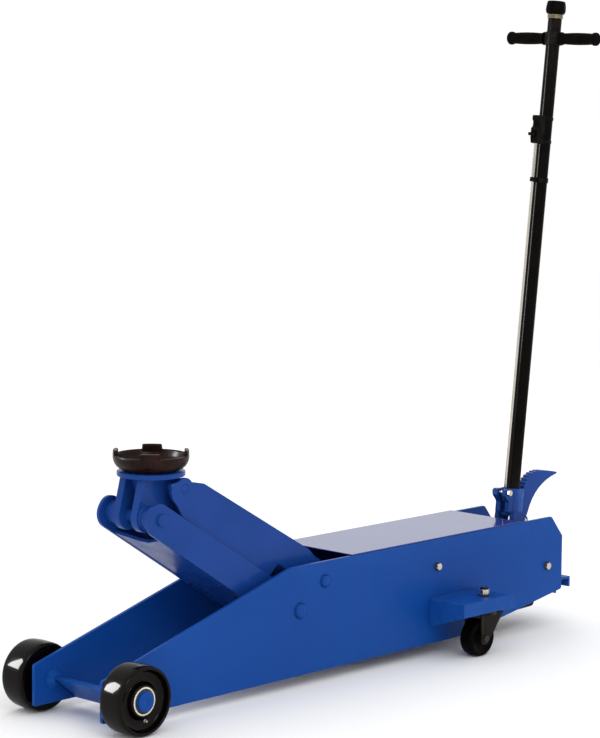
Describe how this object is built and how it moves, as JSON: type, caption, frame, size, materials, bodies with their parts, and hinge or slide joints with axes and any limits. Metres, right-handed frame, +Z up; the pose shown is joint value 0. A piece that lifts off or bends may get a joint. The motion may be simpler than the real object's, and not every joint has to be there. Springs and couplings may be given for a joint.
{
  "type": "trolley jack",
  "caption": "Long-chassis hydraulic trolley jack, part raised: wheeled chassis, parallelogram lift arms, turning saddle, power unit, T-bar handle with release knob, foot pedal.",
  "frame": {"origin": "under the middle of the outline, at ground level", "axes": "+X towards the saddle end, +Y to the left seen from the handle, +Z up"},
  "size_m": [1.5599, 0.414, 1.4465],
  "materials": {
    "blue_paint": "gloss",
    "black_wheel": "gloss paint",
    "black_paint": "gloss",
    "rubber": "matte",
    "dark_cast_iron": "rough",
    "plated_steel": "satin",
    "bright_steel": "polished",
    "black_steel": "satin",
    "caster_fork_paint": "satin",
    "bearing_seal": "satin",
    "brass": "satin"
  },
  "bodies": {
    "chassis": {"side_plate_left": "blue_paint", "side_plate_right": "blue_paint", "front_cross_member": "blue_paint", "rear_cross_plate": "blue_paint", "top_cover": "blue_paint", "caster_bracket_left": "blue_paint", "caster_bracket_right": "blue_paint", "caster_kingbolt_left": "plated_steel", "caster_kingbolt_right": "plated_steel", "stub_axle_left": "blue_paint", "stub_axle_right": "blue_paint", "lower_pivot_shaft": "blue_paint", "upper_pivot_shaft": "blue_paint", "cylinder": "plated_steel", "gland_nut": "plated_steel", "oil_tank": "plated_steel", "tank_support": "plated_steel", "pump_block": "dark_cast_iron", "front_power_bolt_left": "plated_steel", "front_power_bolt_right": "plated_steel", "rear_power_bolt_left": "plated_steel", "rear_power_bolt_right": "plated_steel", "trunnion_bolt_left": "plated_steel", "trunnion_bolt_right": "plated_steel"},
    "front_wheel_left": {"front_wheel_left": "black_wheel", "wheel_bearing_left": "bearing_seal"},
    "front_wheel_right": {"front_wheel_right": "black_wheel", "wheel_bearing_right": "bearing_seal"},
    "caster_fork_left": {"caster_fork_left": "caster_fork_paint", "caster_axle_bolt_left": "black_steel"},
    "caster_fork_right": {"caster_fork_right": "caster_fork_paint", "caster_axle_bolt_right": "black_steel"},
    "caster_wheel_left": {"caster_wheel_left": "black_wheel"},
    "caster_wheel_right": {"caster_wheel_right": "black_wheel"},
    "lift_arm": {"lift_arm": "blue_paint", "lower_head_pin": "blue_paint"},
    "link_arm": {"link_arm": "blue_paint"},
    "saddle_head": {"saddle_head": "blue_paint", "upper_head_pin": "blue_paint"},
    "saddle": {"saddle": "dark_cast_iron"},
    "ram": {"ram": "bright_steel", "ram_cross_pin": "plated_steel"},
    "pump_plunger": {"pump_plunger": "bright_steel"},
    "release_valve": {"release_valve": "plated_steel"},
    "handle": {"handle_socket": "blue_paint", "clamp_bolt": "plated_steel", "handle_tube": "black_paint", "handle_collar": "brass", "t_bar": "black_paint", "grip_left": "rubber", "grip_right": "rubber", "lock_housing": "black_paint", "rod_guide": "black_paint", "pedal_pin": "plated_steel"},
    "foot_pedal": {"foot_pedal": "blue_paint"},
    "release_knob": {"release_knob": "black_paint", "release_rod": "plated_steel"},
    "lock_rod": {"lock_rod": "bright_steel"},
    "lock_button": {"lock_button": "black_paint"}
  },
  "joints": [
    {"name": "front_wheel_left_spin", "type": "hinge", "parent": "chassis", "child": "front_wheel_left", "pos_m": [0.70845, 0.1468, 0.0715], "axis": [0, 1, 0], "continuous": true},
    {"name": "caster_left_swivel", "type": "hinge", "parent": "chassis", "child": "caster_fork_left", "pos_m": [-0.32585, 0.17, 0.11], "axis": [0, 0, 1], "continuous": true},
    {"name": "caster_left_spin", "type": "hinge", "parent": "caster_fork_left", "child": "caster_wheel_left", "pos_m": [-0.30385, 0.17, 0.0415], "axis": [0, 1, 0], "continuous": true},
    {"name": "front_wheel_right_spin", "type": "hinge", "parent": "chassis", "child": "front_wheel_right", "pos_m": [0.70845, -0.1468, 0.0715], "axis": [0, 1, 0], "continuous": true},
    {"name": "caster_right_swivel", "type": "hinge", "parent": "chassis", "child": "caster_fork_right", "pos_m": [-0.32585, -0.17, 0.11], "axis": [0, 0, 1], "continuous": true},
    {"name": "caster_right_spin", "type": "hinge", "parent": "caster_fork_right", "child": "caster_wheel_right", "pos_m": [-0.30385, -0.17, 0.0415], "axis": [0, 1, 0], "continuous": true},
    {"name": "lift", "type": "hinge", "parent": "chassis", "child": "lift_arm", "pos_m": [0.19765, 0, 0.1658], "axis": [0, -1, 0], "range_deg": [-40, 15]},
    {"name": "link", "type": "hinge", "parent": "chassis", "child": "link_arm", "pos_m": [0.12175, 0, 0.2188], "axis": [0, -1, 0], "range_deg": [-40, 15]},
    {"name": "head_level", "type": "hinge", "parent": "lift_arm", "child": "saddle_head", "pos_m": [0.57104, 0, 0.40158], "axis": [0, -1, 0], "range_deg": [-15, 40]},
    {"name": "saddle_turn", "type": "hinge", "parent": "saddle_head", "child": "saddle", "pos_m": [0.52894, 0, 0.49028], "axis": [0, 0, 1], "continuous": true},
    {"name": "ram_stroke", "type": "slide", "parent": "chassis", "child": "ram", "axis": [1, 0, 0], "range_m": [-0.0625, 0.0235]},
    {"name": "handle_pump", "type": "hinge", "parent": "chassis", "child": "handle", "pos_m": [-0.61605, 0, 0.215], "axis": [0, -1, 0], "range_deg": [-8, 50]},
    {"name": "plunger_stroke", "type": "slide", "parent": "chassis", "child": "pump_plunger", "axis": [1, 0, 0], "range_m": [-0.0024, 0.0146]},
    {"name": "pedal_press", "type": "hinge", "parent": "handle", "child": "foot_pedal", "pos_m": [-0.65327, 0, 0.2409], "axis": [0, -1, 0], "range_deg": [0, 18], "stiffness_Nm_per_rad": 30, "springref_deg": -5.73},
    {"name": "release_twist", "type": "hinge", "parent": "handle", "child": "release_knob", "pos_m": [-0.75377, 0, 1.40707], "axis": [-0.1148, 0, 0.9934], "range_deg": [0, 270]},
    {"name": "valve_twist", "type": "hinge", "parent": "chassis", "child": "release_valve", "pos_m": [-0.61605, 0, 0.17], "axis": [0, 0, 1], "range_deg": [0, 270]},
    {"name": "lock_rod_lift", "type": "slide", "parent": "handle", "child": "lock_rod", "axis": [-0.1148, 0, 0.9934], "range_m": [0, 0.006], "stiffness_N_per_m": 300, "springref_m": -0.01},
    {"name": "lock_button_press", "type": "slide", "parent": "handle", "child": "lock_button", "axis": [-0.9934, 0, -0.1148], "range_m": [0, 0.004]}
  ],
  "couplings": [
    {"joint": "link", "follows": "lift", "ratio": 1},
    {"joint": "head_level", "follows": "lift", "ratio": -1},
    {"joint": "ram_stroke", "follows": "lift", "m_per_rad": 0.087},
    {"joint": "plunger_stroke", "follows": "handle_pump", "m_per_rad": 0.0165},
    {"joint": "valve_twist", "follows": "release_twist", "ratio": 1},
    {"joint": "lock_button_press", "follows": "lock_rod_lift", "ratio": 0.6667}
  ]
}
